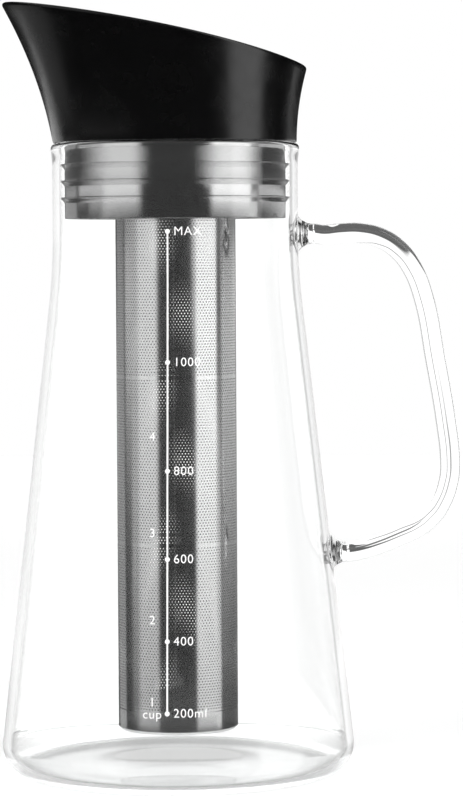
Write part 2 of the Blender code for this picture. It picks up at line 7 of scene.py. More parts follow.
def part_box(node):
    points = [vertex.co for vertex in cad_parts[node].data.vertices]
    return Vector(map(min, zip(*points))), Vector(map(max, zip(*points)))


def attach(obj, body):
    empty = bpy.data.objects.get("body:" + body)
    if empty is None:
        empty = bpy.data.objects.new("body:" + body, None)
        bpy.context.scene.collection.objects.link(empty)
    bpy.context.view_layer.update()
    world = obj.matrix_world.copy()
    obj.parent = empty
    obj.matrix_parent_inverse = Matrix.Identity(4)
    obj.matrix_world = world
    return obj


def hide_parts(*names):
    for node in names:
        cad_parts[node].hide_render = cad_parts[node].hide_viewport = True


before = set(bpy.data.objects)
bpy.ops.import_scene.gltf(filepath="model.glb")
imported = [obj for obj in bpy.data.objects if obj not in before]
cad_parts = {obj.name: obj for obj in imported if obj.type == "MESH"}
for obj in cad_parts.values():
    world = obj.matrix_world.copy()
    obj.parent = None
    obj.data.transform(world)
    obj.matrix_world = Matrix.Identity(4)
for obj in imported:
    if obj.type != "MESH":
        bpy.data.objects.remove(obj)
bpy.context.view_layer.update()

# Camera
# A long lens at the height of the collar, a metre away and tipped a little down,
# as in the photograph, where the pot leans slightly to the left.
EYE = Vector((0.0179, -1.017, 0.1726))
AIM = Vector((0.0179, 0.0, 0.1209))
LENS = 140.8
SENSOR = 36.0
ROLL = math.radians(-0.31)
CLIP_START = 0.01

lens = bpy.data.cameras.new("camera")
lens.lens = LENS
lens.sensor_width = SENSOR
lens.clip_start = CLIP_START
camera = bpy.data.objects.new("camera", lens)
camera.location = EYE
camera.rotation_mode = "QUATERNION"
camera.rotation_quaternion = (AIM - EYE).to_track_quat("-Z", "Y") @ Quaternion((0, 0, 1), ROLL)
bpy.context.scene.collection.objects.link(camera)
bpy.context.scene.camera = camera

# Studio surroundings
# A tall soft box on each side of the camera, a light strip over it and a dark room. What
# is seen straight through glass is the white backdrop, down to where it ends.
ROOM = 0.015
# The backdrop as the whole pot shows it: its light, straight on and to the sides, its foot
BACKDROP = 1.18
BACKDROP_SIDES = 2.2
SIDES_START = math.radians(5)
SIDES_END = math.radians(17)
BACKDROP_FOOT = math.radians(-13)
UNDER_THROUGH_POT = 0.85
# The same in one piece of glass, such as the rod, where it has a foot that falls to both
# sides, a dark seam, a streak, dark sides and a grey back
UNDER = 0.11
BACKDROP_FOOT_IN_ROD = math.radians(-3.5)
FOOT_BLUR = math.radians(1.5)
FOOT_LEVEL = math.radians(3)
FOOT_FALL_LEFT = 0.74
FOOT_FALL_RIGHT = 8.0
LOWEST_FOOT_LEFT = math.radians(-20)
LOWEST_FOOT_RIGHT = math.radians(-60)
LOW_RIGHT = math.radians(7)
STREAK = math.radians(-15.5)
STREAK_END = math.radians(13)
STREAK_TAPER = 0.42
STREAK_SHADE = 0.15
SEAM = math.radians(15)
SEAM_WIDTH = math.radians(1.7)
SEAM_SHADE = 0.35
SIDE_START = math.radians(52)
SIDE_END = math.radians(128)
SIDE_RIGHT = 0.50
BACK_START = math.radians(95)
BACK_END = math.radians(125)
BACK_IN_ROD = 0.55
# Where the backdrop that the inside of the glass mirrors once ends, and what is beyond it
BACKDROP_LEFT = math.radians(-37)
BACKDROP_RIGHT = math.radians(30)
BACKDROP_BLUR = math.radians(3)
UNDER_TURNED = 0.65
# Transmission depths of a ray that has gone through no more than one piece of glass
ANY_GLASS = 0.5
ONE_PIECE = 2.5
# Left edge, right edge, their blurs, lowest and highest height and their blurs, all in
# degrees with 0 for the backdrop, and the brightness, as the lid mirrors them
PANELS = (
    (-75, -4, 4, 6, -55, -10, 3, 3, 0.28),
    (-140, -83, 8, 11, -12, 65, 3, 3, 0.40),
    (91, 125, 4, 3, -50, 65, 3, 3, 1.90),
    (-180, 180, 0.1, 0.1, 30, 52, 3, 3, 0.60),
)
# The same, as steel inside the glass mirrors them
PANELS_IN_GLASS = (
    (-145, -99, 5, 10, -9, 1.5, 9, 2, 1.20),
    (-112, -67, 6, 5, -3, 0.2, 3, 0.6, 0.95),
    (-112, -84, 6, 7, -7, 0.2, 5, 0.6, 0.70),
    (-62, -30, 3, 3, -14, 0.5, 3, 1, 0.40),
    (-146, -90, 12, 26, 1.5, 65, 2, 3, 1.00),
    (96, 142, 3, 4, -9, 1.5, 9, 2, 1.75),
    (120, 149, 3, 3, -1, 1.0, 1, 2, 1.40),
    (87, 100, 2, 2, -13, -3, 3, 2, 0.90),
    (20, 85, 5, 3, -5, 0.0, 5, 0.6, 0.90),
    (92, 144, 16, 19, 1.5, 65, 2, 3, 1.35),
    (-36, 36, 3, 3, -7, -1, 4, 2, 0.45),
    (-36, 36, 3, 3, 0, 65, 3, 3, 0.12),
    (-18, 18, 4, 4, 6.5, 21, 1.5, 2, 0.95),
    (-36, 36, 4, 4, -80, -13, 3, 2, 0.90),
    (-180, 180, 0.1, 0.1, 32, 90, 4, 3, 0.60),
)


def add_node(tree, kind, inputs=None, **settings):
    """A node with its settings; an input given as a socket is linked."""
    made = tree.nodes.new(kind)
    for name, value in settings.items():
        setattr(made, name, value)
    for name, value in (inputs or {}).items():
        if isinstance(value, bpy.types.NodeSocket):
            tree.links.new(value, made.inputs[name])
        else:
            made.inputs[name].default_value = value
    return made


def calc(tree, operation, first, second=0.0):
    made = add_node(tree, "ShaderNodeMath", {0: first, 1: second}, operation=operation)
    return made.outputs[0]


def product(tree, first, *others):
    for other in others:
        first = calc(tree, "MULTIPLY", first, other)
    return first


def without(tree, mask):
    """What a mask leaves out."""
    return calc(tree, "SUBTRACT", 1.0, mask)


def between(tree, value, low, high, to_low=0.0, to_high=1.0):
    """The value spread smoothly from one range to another."""
    inputs = {"Value": value, "From Min": low, "From Max": high, "To Min": to_low,
              "To Max": to_high}
    made = add_node(tree, "ShaderNodeMapRange", inputs, interpolation_type="SMOOTHSTEP")
    return made.outputs["Result"]


def step_at(tree, value, place, blur, before=0.0, after=1.0):
    """A soft step from one level to another where the value passes a place."""
    return between(tree, value, place - blur, place + blur, before, after)


def blend(tree, share, first, second):
    """The first value where the share is 0 and the second where it is 1."""
    made = add_node(tree, "ShaderNodeMix", {"Factor": share, "A": first, "B": second},
                    data_type="FLOAT")
    return made.outputs["Result"]


def panel_light(tree, across, up, panel):
    """The light of one panel with soft edges."""
    edges = [math.radians(degrees) for degrees in panel[:-1]]
    left, right, left_blur, right_blur, low, high, low_blur, high_blur = edges
    return product(tree, step_at(tree, across, left, left_blur),
                   step_at(tree, across, right, right_blur, 1.0, 0.0),
                   step_at(tree, up, low, low_blur),
                   step_at(tree, up, high, high_blur, 1.0, 0.0), panel[-1])


def room_light(tree, across, up, panels):
    """The dark room with its panels, of which the brightest shows."""
    shown = ROOM
    for panel in panels:
        shown = calc(tree, "MAXIMUM", shown, panel_light(tree, across, up, panel))
    return shown


def foot_in_rod(tree, across):
    """Height of the backdrop's foot in one piece of glass."""
    fall_left = product(tree, calc(tree, "MINIMUM", across, 0.0), FOOT_FALL_LEFT)
    off_right = calc(tree, "MAXIMUM", calc(tree, "SUBTRACT", across, FOOT_LEVEL), 0.0)
    fall = calc(tree, "SUBTRACT", fall_left, product(tree, off_right, FOOT_FALL_RIGHT))
    low_right = between(tree, across, LOW_RIGHT, LOW_RIGHT + FOOT_BLUR)
    lowest = blend(tree, low_right, LOWEST_FOOT_LEFT, LOWEST_FOOT_RIGHT)
    return calc(tree, "MAXIMUM", calc(tree, "ADD", BACKDROP_FOOT_IN_ROD, fall), lowest)


def backdrop_in_rod(tree, across, up, off_axis):
    """The backdrop in one piece of glass, with its seam, streak, sides and back."""
    from_seam = calc(tree, "ABSOLUTE", calc(tree, "SUBTRACT", across, SEAM))
    seam = between(tree, from_seam, SEAM_WIDTH / 2, SEAM_WIDTH, SEAM_SHADE, BACKDROP)
    streak_half = product(tree, calc(tree, "SUBTRACT", STREAK_END, across), STREAK_TAPER)
    from_streak = calc(tree, "ABSOLUTE", calc(tree, "SUBTRACT", up, STREAK))
    off_streak = calc(tree, "SUBTRACT", from_streak, streak_half)
    streak = step_at(tree, off_streak, 0.0, FOOT_BLUR / 2, STREAK_SHADE, BACKDROP)
    to_right = between(tree, across, FOOT_LEVEL, FOOT_LEVEL + FOOT_BLUR)
    streak = blend(tree, to_right, BACKDROP, streak)
    in_side = product(tree, step_at(tree, off_axis, SIDE_START, BACKDROP_BLUR),
                      step_at(tree, off_axis, SIDE_END, BACKDROP_BLUR, 1.0, 0.0))
    side_shade = blend(tree, calc(tree, "GREATER_THAN", across, 0.0), UNDER, SIDE_RIGHT)
    side = blend(tree, in_side, BACKDROP, side_shade)
    side = blend(tree, between(tree, off_axis, BACK_START, BACK_END), side, BACK_IN_ROD)
    return calc(tree, "MINIMUM", calc(tree, "MINIMUM", seam, side), streak)


world = bpy.data.worlds.new("studio")
world.use_nodes = True
sky = world.node_tree
sky.nodes.clear()
direction = add_node(sky, "ShaderNodeTexCoord").outputs["Generated"]
parts = add_node(sky, "ShaderNodeSeparateXYZ", {0: direction}).outputs
azimuth = calc(sky, "ARCTAN2", parts["X"], parts["Y"])
height = calc(sky, "ARCSINE", parts["Z"])
off_axis = calc(sky, "ABSOLUTE", azimuth)
path = add_node(sky, "ShaderNodeLightPath").outputs
in_glass = path["Is Transmission Ray"]
scattered = calc(sky, "MINIMUM", path["Diffuse Depth"], 1.0)
mirrored = calc(sky, "MINIMUM", path["Glossy Depth"], 1.0)
through_glass = calc(sky, "GREATER_THAN", path["Transmission Depth"], ANY_GLASS)
one_piece = calc(sky, "LESS_THAN", path["Transmission Depth"], ONE_PIECE)

# Mirrored by the lid and the steel
studio_light = blend(sky, through_glass, room_light(sky, azimuth, height, PANELS),
                     room_light(sky, azimuth, height, PANELS_IN_GLASS))
# Seen straight through glass
wide = between(sky, off_axis, SIDES_START, SIDES_END, BACKDROP, BACKDROP_SIDES)
backdrop = blend(sky, one_piece, wide, backdrop_in_rod(sky, azimuth, height, off_axis))
foot = blend(sky, one_piece, BACKDROP_FOOT, foot_in_rod(sky, azimuth))
over_foot = step_at(sky, calc(sky, "SUBTRACT", height, foot), 0.0, FOOT_BLUR)
ahead = blend(sky, over_foot, blend(sky, one_piece, UNDER_THROUGH_POT, UNDER), backdrop)
# Mirrored once by the inside of the glass
behind = calc(sky, "MINIMUM",
              step_at(sky, azimuth, BACKDROP_LEFT, BACKDROP_BLUR, UNDER_TURNED, BACKDROP),
              step_at(sky, azimuth, BACKDROP_RIGHT, BACKDROP_BLUR, BACKDROP, UNDER_TURNED))

unscattered = product(sky, in_glass, without(sky, scattered))
straight = product(sky, unscattered, without(sky, mirrored))
turned_back = product(sky, unscattered, mirrored, one_piece)
seen = blend(sky, straight, blend(sky, turned_back, studio_light, behind), ahead)
once = without(sky, product(sky, in_glass, scattered))
shown = calc(sky, "MAXIMUM", product(sky, seen, once), path["Is Camera Ray"])
light = add_node(sky, "ShaderNodeBackground", {"Color": shown, "Strength": 1.0})
add_node(sky, "ShaderNodeOutputWorld", {"Surface": light.outputs[0]})
bpy.context.scene.world = world
bpy.context.scene.view_settings.view_transform = "Standard"

# Lamps
# Two wide soft lamps at the front give surfaces their plain light, and a small one high
# over the camera casts the filter's shadow on the table. Glass and steel don't show them.
LAMPS = (
    ("lamp_left", (-0.9, -0.9, 0.9), 0.9, 11.0),
    ("lamp_right", (0.9, -0.9, 0.8), 0.9, 11.0),
    ("lamp_over", (0.0, -0.75, 1.15), 0.18, 7.0),
)
LAMP_AIM = Vector((0, 0, 0.1))
for name, place, size, power in LAMPS:
    lamp = bpy.data.lights.new(name, "AREA")
    lamp.shape = "DISK"
    lamp.size = size
    lamp.energy = power
    lamp_object = bpy.data.objects.new(name, lamp)
    lamp_object.location = place
    lamp_object.rotation_mode = "QUATERNION"
    lamp_object.rotation_quaternion = (LAMP_AIM - Vector(place)).to_track_quat("-Z", "Y")
    lamp_object.visible_glossy = False
    lamp_object.visible_transmission = False
    lamp_object.visible_camera = False
    bpy.context.scene.collection.objects.link(lamp_object)

# Floor
# A pale matt table top. Seen through glass it ends just behind the pot, as the
# photographed table does, and in reflections only the part round the pot shows.
FLOOR_RADIUS = 1.5
FLOOR_STEPS = 96
FLOOR_DROP = 0.0001
FLOOR_COLOUR = (0.90, 0.90, 0.90, 1)
FLOOR_SPECKS = (0.88, 0.88, 0.88, 1)
SPECK_SCALE = 900.0
POT_SURROUND = 0.12
FLOOR_LIFT_NEAR = 0.20
FLOOR_LIFT_FAR = 0.60
# In glass: a painted shade line along the table's edge, the ring round the flat of the base
# with painted shade on its front and painted light on its back, and a painted shadow under
# the hollow of the base's push-up
FLOOR_LIFT_IN_GLASS = 0.34
TABLE_EDGE = 0.094
TABLE_BLUR = 0.001
EDGE_SHADE = 0.004
EDGE_LINE = EDGE_SHADE * 0.6
EDGE_SHADE_LEFT = 0.72
BASE_FLAT = 0.047
BASE_SHADE = 0.063
SHADE_BLUR = 0.003
SHADE_LEFT = 0.66
# Painted light added on the back half of the ring round the base
RING_PAINTED_LIGHT = 0.40
HOLLOW_PLACE = (0.0, -0.014, 0.0)
HOLLOW_SHAPE = (1.0, 1.8, 1.0)
HOLLOW_RADIUS = 0.024
HOLLOW_BLUR = 0.004
HOLLOW_SHADOW_LEFT = 0.35
# In reflections
MIRRORED_FLOOR = 0.062
MIRRORED_BLUR = 0.004
WHITE = (1, 1, 1, 1)


def new_material(name):
    material = bpy.data.materials.new(name)
    material.use_nodes = True
    material.node_tree.nodes.clear()
    return material, material.node_tree


def output(tree, shader):
    add_node(tree, "ShaderNodeOutputMaterial", {"Surface": shader})


def object_place(tree):
    return add_node(tree, "ShaderNodeTexCoord").outputs["Object"]


def split(tree, vector):
    return add_node(tree, "ShaderNodeSeparateXYZ", {0: vector}).outputs


def length_of(tree, vector):
    made = add_node(tree, "ShaderNodeVectorMath", {0: vector}, operation="LENGTH")
    return made.outputs["Value"]


def noise(tree, vector, scale, detail, roughness=0.5):
    made = add_node(tree, "ShaderNodeTexNoise", {
        "Vector": vector, "Scale": scale, "Detail": detail, "Roughness": roughness})
    return made.outputs["Fac"]


def mix_colours(tree, share, first, second):
    made = add_node(tree, "ShaderNodeMix", {"Factor": share, "A": first, "B": second},
                    data_type="RGBA")
    return made.outputs["Result"]


def bumps(tree, heights, strength, distance):
    made = add_node(tree, "ShaderNodeBump", {"Height": heights, "Strength": strength,
                                             "Distance": distance})
    return made.outputs["Normal"]


def glowing(tree, strength):
    made = add_node(tree, "ShaderNodeEmission", {"Color": WHITE, "Strength": strength})
    return made.outputs[0]


def see_through(tree, colour=WHITE):
    return add_node(tree, "ShaderNodeBsdfTransparent", {"Color": colour}).outputs[0]


def mix_shaders(tree, share, first, second):
    made = add_node(tree, "ShaderNodeMixShader", {"Fac": share, 1: first, 2: second})
    return made.outputs[0]


def principled(tree, inputs):
    return add_node(tree, "ShaderNodeBsdfPrincipled", inputs).outputs[0]


def finish_mesh(name, shape, material, smooth_angle=None):
    """Make the bmesh an object at the origin, smooth between edges sharper than the angle."""
    mesh = bpy.data.meshes.new(name)
    shape.to_mesh(mesh)
    shape.free()
    mesh.materials.append(material)
    mesh.shade_smooth()
    if smooth_angle is not None:
        mesh.set_sharp_from_angle(angle=smooth_angle)
    made = bpy.data.objects.new(name, mesh)
    bpy.context.scene.collection.objects.link(made)
    return made


floor_material, tree = new_material("pale_floor")
spot = object_place(tree)
back = split(tree, spot)["Y"]
from_pot = length_of(tree, spot)
path = add_node(tree, "ShaderNodeLightPath").outputs
indirect = calc(tree, "MAXIMUM", path["Is Transmission Ray"], path["Is Glossy Ray"])
in_glass = product(tree, indirect, calc(tree, "MINIMUM", path["Transmission Depth"], 1.0))
mirrored = calc(tree, "MINIMUM", path["Glossy Depth"], 1.0)

# Where the floor is left out of glass and reflections
behind_pot = step_at(tree, back, TABLE_EDGE, TABLE_BLUR)
away = step_at(tree, from_pot, MIRRORED_FLOOR, MIRRORED_BLUR)
open_floor = product(tree, indirect, blend(tree, mirrored, behind_pot, away))

# Masks of what shows in glass: the ring's painted-shade front and painted-light back, the
# edge's painted shade line and the painted shadow under the hollow
in_ring = product(tree, in_glass, step_at(tree, from_pot, BASE_FLAT, SHADE_BLUR),
                  step_at(tree, from_pot, BASE_SHADE, SHADE_BLUR, 1.0, 0.0))
# The ring's front half gets painted shade, its back half painted light
in_front = step_at(tree, back, 0.0, BASE_FLAT / 2, 1.0, 0.0)
in_shade = product(tree, in_ring, in_front)
in_lit_ring_back = calc(tree, "SUBTRACT", in_ring, in_shade)
# A painted shade line along the table's far edge
in_edge_shade_line = between(tree, back, TABLE_EDGE - EDGE_SHADE, TABLE_EDGE - EDGE_LINE)
in_edge_shade_line = product(tree, in_glass, in_edge_shade_line)
# Painted shadow under the hollow of the base's push-up, in the table's colour and in its glow
to_hollow = add_node(tree, "ShaderNodeVectorMath", {0: spot, 1: HOLLOW_PLACE}, operation="ADD")
to_hollow = add_node(tree, "ShaderNodeVectorMath", {0: to_hollow.outputs[0], 1: HOLLOW_SHAPE},
                     operation="MULTIPLY").outputs[0]
in_hollow_shadow = step_at(tree, length_of(tree, to_hollow), HOLLOW_RADIUS, HOLLOW_BLUR, 1.0, 0.0)
in_hollow_shadow = product(tree, in_glass, in_hollow_shadow)
hollow_shadow_left = blend(tree, in_hollow_shadow, 1.0, HOLLOW_SHADOW_LEFT)

# The table's colour darkened by the painted shade of the ring's front and the edge line, and by
# the hollow's painted shadow
painted_shade_left = product(tree, blend(tree, in_shade, 1.0, SHADE_LEFT),
                      blend(tree, in_edge_shade_line, 1.0, EDGE_SHADE_LEFT), hollow_shadow_left)
tone = mix_colours(tree, noise(tree, spot, SPECK_SCALE, 3.0), FLOOR_COLOUR, FLOOR_SPECKS)
shaded = add_node(tree, "ShaderNodeVectorMath", {0: tone, "Scale": painted_shade_left},
                  operation="SCALE").outputs[0]
matt = add_node(tree, "ShaderNodeBsdfDiffuse", {"Color": shaded}).outputs[0]
lift_outside = between(tree, from_pot, POT_SURROUND, FLOOR_RADIUS, FLOOR_LIFT_NEAR,
                       FLOOR_LIFT_FAR)
# In glass the glow fades out at the table's edge line, stops in the ring's painted-shade front,
# rises as painted light on its back and dims in the hollow's painted shadow
lift_inside = between(tree, back, TABLE_EDGE - EDGE_SHADE, TABLE_EDGE, FLOOR_LIFT_IN_GLASS, 0.0)
lift_inside = calc(tree, "ADD", blend(tree, in_shade, lift_inside, 0.0),
                   product(tree, in_lit_ring_back, RING_PAINTED_LIGHT))
lift = calc(tree, "ADD", product(tree, path["Is Camera Ray"], lift_outside),
            product(tree, in_glass, lift_inside, hollow_shadow_left))
lit = add_node(tree, "ShaderNodeAddShader", {0: matt, 1: glowing(tree, lift)}).outputs[0]
output(tree, mix_shaders(tree, open_floor, lit, see_through(tree)))
shape = bmesh.new()
bmesh.ops.create_circle(shape, cap_ends=True, segments=FLOOR_STEPS, radius=FLOOR_RADIUS)
bmesh.ops.translate(shape, verts=shape.verts, vec=(0, 0, -FLOOR_DROP))
floor = finish_mesh("floor", shape, floor_material)

# White card
# A bent white card behind the pot, which only the outside of the glass mirrors. It keeps
# the edges of the glass light.
CARD_RADIUS = 0.17
CARD_STEPS = 72
CARD_LOW = -0.05
CARD_HIGH = 0.206
CARD_SPREAD = math.radians(58)
CARD_LIGHT = 1.0
CARD_FOOT_LIGHT = 0.68
CARD_FADE = 0.03

card_material, tree = new_material("white_card")
up_card = split(tree, object_place(tree))["Z"]
card_light = between(tree, up_card, 0.0, CARD_FADE, CARD_FOOT_LIGHT, CARD_LIGHT)
path = add_node(tree, "ShaderNodeLightPath").outputs
seen_in_glass = calc(tree, "GREATER_THAN", path["Transmission Depth"], ANY_GLASS)
output(tree, mix_shaders(tree, seen_in_glass, glowing(tree, card_light), see_through(tree)))
shape = bmesh.new()
bmesh.ops.create_cone(shape, cap_ends=False, segments=CARD_STEPS, radius1=CARD_RADIUS,
                      radius2=CARD_RADIUS, depth=CARD_HIGH - CARD_LOW)
front = []
for face in shape.faces:
    middle = face.calc_center_median()
    if abs(math.atan2(middle.x, middle.y)) > CARD_SPREAD:
        front.append(face)
bmesh.ops.delete(shape, geom=front, context="FACES")
bmesh.ops.translate(shape, verts=shape.verts, vec=(0, 0, (CARD_LOW + CARD_HIGH) / 2))
card = finish_mesh("white_card", shape, card_material)
card.visible_camera = False
card.visible_diffuse = False
card.visible_transmission = False
card.visible_shadow = False

# Glass pot
# Blown borosilicate glass: a straight cone on a rounded base, a short neck with a
# fire-polished rim, and a solid glass rod bent to a handle and fused on at both ends.
POT_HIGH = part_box("glass_body")[1]
POT_RADIUS = POT_HIGH.y
POT_HEIGHT = POT_HIGH.z
GLASS_WALL = 0.0024
GLASS_FLOOR = 0.0032
POT_CORNER = 0.0090
NECK_RADIUS = 0.0398
NECK_LENGTH = 0.0401
SHOULDER_BLEND = 0.0120
RIM_BULGE = 0.0004
RIM_BAND = 0.0070
SHOULDER = POT_HEIGHT - NECK_LENGTH
PUSH_UP = 0.0008
PUSH_UP_RADIUS = 0.0290
POT_STEPS = 192
CORNER_STEPS = 18
SHOULDER_STEPS = 14
RIM_STEPS = 12
BEAD_STEPS = 8
PUSH_UP_STEPS = 16
ROW = 0.0016
FLOOR_ROW = 0.003
SAME_POINT = 1e-6
GLASS_TINT = (0.995, 0.998, 0.997, 1)
GLASS_SHADOW = (0.95, 0.955, 0.955, 1)
GLASS_IOR = 1.47
LOST_GLOSS = 2.5


def arc(centre, radius, start, end, steps):
    """Points on a circle in the plane of a turned outline."""
    angles = [start + (end - start) * step / steps for step in range(steps + 1)]
    return [(centre[0] + radius * math.cos(a), centre[1] + radius * math.sin(a))
            for a in angles]


def spin_outline(points, steps, closed=True):
    """Turn an outline of (radius, height) points about Z into a skin."""
    shape = bmesh.new()
    dots = [shape.verts.new((radius, 0, z)) for radius, z in points]
    lines = [shape.edges.new(pair) for pair in zip(dots, dots[1:])]
    if closed:
        lines.append(shape.edges.new((dots[-1], dots[0])))
    bmesh.ops.spin(shape, geom=dots + lines, cent=(0, 0, 0), axis=(0, 0, 1), dvec=(0, 0, 0),
                   angle=math.tau, steps=steps, use_merge=True, use_duplicate=False)
    bmesh.ops.remove_doubles(shape, verts=shape.verts, dist=SAME_POINT)
    bmesh.ops.recalc_face_normals(shape, faces=shape.faces)
    return shape


def in_rows(start, end, row):
    """Points from one to the other, about a row apart, without the first."""
    length = math.hypot(end[0] - start[0], end[1] - start[1])
    count = max(1, round(length / row))
    return [(start[0] + (end[0] - start[0]) * k / count,
             start[1] + (end[1] - start[1]) * k / count) for k in range(1, count + 1)]


CONE_ACROSS = NECK_RADIUS - (POT_RADIUS - POT_CORNER)
CONE_UP = SHOULDER - POT_CORNER
LEAN = (math.asin(POT_CORNER / math.hypot(CONE_ACROSS, CONE_UP))
        - math.atan2(CONE_ACROSS, CONE_UP))


def pot_side(inset, floor_height=None):
    """The pot's side from its base to the top of the shoulder, moved in by an inset."""
    radius = POT_CORNER - inset
    start = -math.pi / 2
    if floor_height is not None:
        start = math.asin((floor_height - POT_CORNER) / radius)
    corner = arc((POT_RADIUS - POT_CORNER, POT_CORNER), radius, start, LEAN, CORNER_STEPS)
    blend_radius = SHOULDER_BLEND / math.tan(LEAN / 2)
    centre = (NECK_RADIUS + blend_radius, SHOULDER + SHOULDER_BLEND)
    bend = arc(centre, blend_radius + inset, math.pi + LEAN, math.pi, SHOULDER_STEPS)
    return corner + in_rows(corner[-1], bend[0], ROW) + bend[1:]


def cone_radius(z):
    return NECK_RADIUS + (SHOULDER - z) * math.tan(LEAN)


inner = pot_side(GLASS_WALL, GLASS_FLOOR)
outer = pot_side(0.0)
rim_radius = (GLASS_WALL + RIM_BULGE) / 2
rim = arc((NECK_RADIUS + RIM_BULGE - rim_radius, POT_HEIGHT - rim_radius), rim_radius,
          math.pi, 0.0, RIM_STEPS)
neck_top = (NECK_RADIUS, POT_HEIGHT - RIM_BAND)
bead = [(NECK_RADIUS + RIM_BULGE * (0.5 + 0.5 * math.cos(math.pi * k / BEAD_STEPS)),
         rim[-1][1] + (neck_top[1] - rim[-1][1]) * k / BEAD_STEPS)
        for k in range(1, BEAD_STEPS + 1)]
underside = [(PUSH_UP_RADIUS * (1 - k / PUSH_UP_STEPS),
              PUSH_UP * math.sin(math.pi / 2 * k / PUSH_UP_STEPS) ** 2)
             for k in range(PUSH_UP_STEPS + 1)]
POT_OUTLINE = (
    [(0, GLASS_FLOOR)] + in_rows((0, GLASS_FLOOR), inner[0], FLOOR_ROW) + inner[1:]
    + in_rows(inner[-1], rim[0], ROW) + rim[1:] + bead + in_rows(neck_top, outer[-1], ROW)
    + outer[::-1][1:] + underside)

# The rod leaves the neck level, bends down, and comes back in to the cone. Its arms are
# given as shares of its reach and of the height between its feet.
ROD_RADIUS = 0.0033
HANDLE_REACH = 0.0890
HANDLE_TOP = POT_HEIGHT - 0.0293
HANDLE_FOOT = 0.0711
WELD_RADIUS = 0.0062
WELD_LENGTH = 0.0050
WELD_SINK = 0.0012
WELD_MELT = 0.0034
MELT_PASSES = 6
WELD_FLARE_SHARES = ((0.0, 1.0), (0.28, 0.45), (0.62, 0.12), (1.0, 0.0))
UPPER_ARM_SHARES = (
    (0.17, -0.004), (0.29, 0.001), (0.41, 0.001), (0.54, -0.014), (0.65, -0.047),
    (0.745, -0.103), (0.826, -0.200), (0.903, -0.394), (0.970, -0.582), (1.000, -0.720),
)
LOWER_ARM_SHARES = (
    (0.987, 0.222), (0.905, 0.142), (0.820, 0.103), (0.732, 0.077), (0.564, 0.048),
    (0.394, 0.023), (0.240, 0.006),
)


def handle_route():
    """Centre line of the rod as (x, z, radius), from the neck round to the cone."""
    rise = HANDLE_TOP - HANDLE_FOOT
    foot = cone_radius(HANDLE_FOOT)
    swell = WELD_RADIUS - ROD_RADIUS
    upper = [(NECK_RADIUS - WELD_SINK, HANDLE_TOP, WELD_RADIUS)]
    lower = [(foot - WELD_SINK, HANDLE_FOOT, WELD_RADIUS)]
    for along, flare in WELD_FLARE_SHARES:
        radius = ROD_RADIUS + flare * swell
        upper.append((NECK_RADIUS + along * WELD_LENGTH, HANDLE_TOP, radius))
        lower.append((foot + along * WELD_LENGTH, HANDLE_FOOT, radius))
    for out_share, along in UPPER_ARM_SHARES:
        x = NECK_RADIUS + out_share * (HANDLE_REACH - NECK_RADIUS)
        upper.append((x, HANDLE_TOP + along * rise, ROD_RADIUS))
    arm = []
    for out_share, along in LOWER_ARM_SHARES:
        x = foot + out_share * (HANDLE_REACH - foot)
        arm.append((x, HANDLE_FOOT + along * rise, ROD_RADIUS))
    return upper + arm + lower[::-1]


def taken_shape(source, nearest):
    """The final form of a curve, text or modified object as a bmesh; the object goes."""
    bpy.context.view_layer.update()
    mesh = bpy.data.meshes.new_from_object(
        source.evaluated_get(bpy.context.evaluated_depsgraph_get()))
    bpy.data.objects.remove(source)
    shape = bmesh.new()
    shape.from_mesh(mesh)
    bmesh.ops.remove_doubles(shape, verts=shape.verts, dist=nearest)
    return shape


def bent_rod(name, route):
    """A solid rod along a route, made from a curve."""
    curve = bpy.data.curves.new(name, "CURVE")
    curve.dimensions = "3D"
    curve.bevel_depth = ROD_RADIUS
    curve.bevel_resolution = 10
    curve.resolution_u = 10
    curve.use_fill_caps = True
    spline = curve.splines.new("BEZIER")
    spline.bezier_points.add(len(route) - 1)
    for point, (x, z, radius) in zip(spline.bezier_points, route):
        point.co = (x, 0, z)
        point.radius = radius / ROD_RADIUS
        point.handle_left_type = "AUTO"
        point.handle_right_type = "AUTO"
    bent = bpy.data.objects.new(name, curve)
    bpy.context.scene.collection.objects.link(bent)
    shape = taken_shape(bent, SAME_POINT)
    bmesh.ops.recalc_face_normals(shape, faces=shape.faces)
    return shape


def melt_weld(shape, weld_x, weld_z):
    """Smooth the glass in a ring round one of the handle's welds."""
    melted = []
    for vert in shape.verts:
        x, y, z = vert.co
        wall = NECK_RADIUS if z > SHOULDER else cone_radius(z)
        on_outside = x > 0 and math.hypot(x, y) > wall - GLASS_WALL / 2
        off_weld = abs(math.hypot(y, z - weld_z) - WELD_RADIUS)
        if on_outside and abs(x - weld_x) < WELD_LENGTH and off_weld < WELD_MELT:
            melted.append(vert)
    for _ in range(MELT_PASSES):
        bmesh.ops.smooth_vert(shape, verts=melted, factor=0.5, use_axis_x=True,
                              use_axis_y=True, use_axis_z=True)


glass_material, tree = new_material("clear_glass")
spot = object_place(tree)
smears = noise(tree, spot, 30.0, 4.0)
glass = principled(tree, {
    "Base Color": GLASS_TINT, "Roughness": between(tree, smears, 0.55, 0.75, 0.0, 0.006),
    "Metallic": 0.0, "IOR": GLASS_IOR, "Transmission Weight": 1.0,
    "Normal": bumps(tree, noise(tree, spot, 45.0, 1.0, 0.4), 1.0, 0.00002)})
path = add_node(tree, "ShaderNodeLightPath").outputs
# A ray that is lost in the rod's mirrors leaves it straight
lost = calc(tree, "GREATER_THAN", path["Glossy Depth"], LOST_GLOSS)
body = mix_shaders(tree, lost, glass, see_through(tree))
output(tree, mix_shaders(tree, path["Is Shadow Ray"], body, see_through(tree, GLASS_SHADOW)))

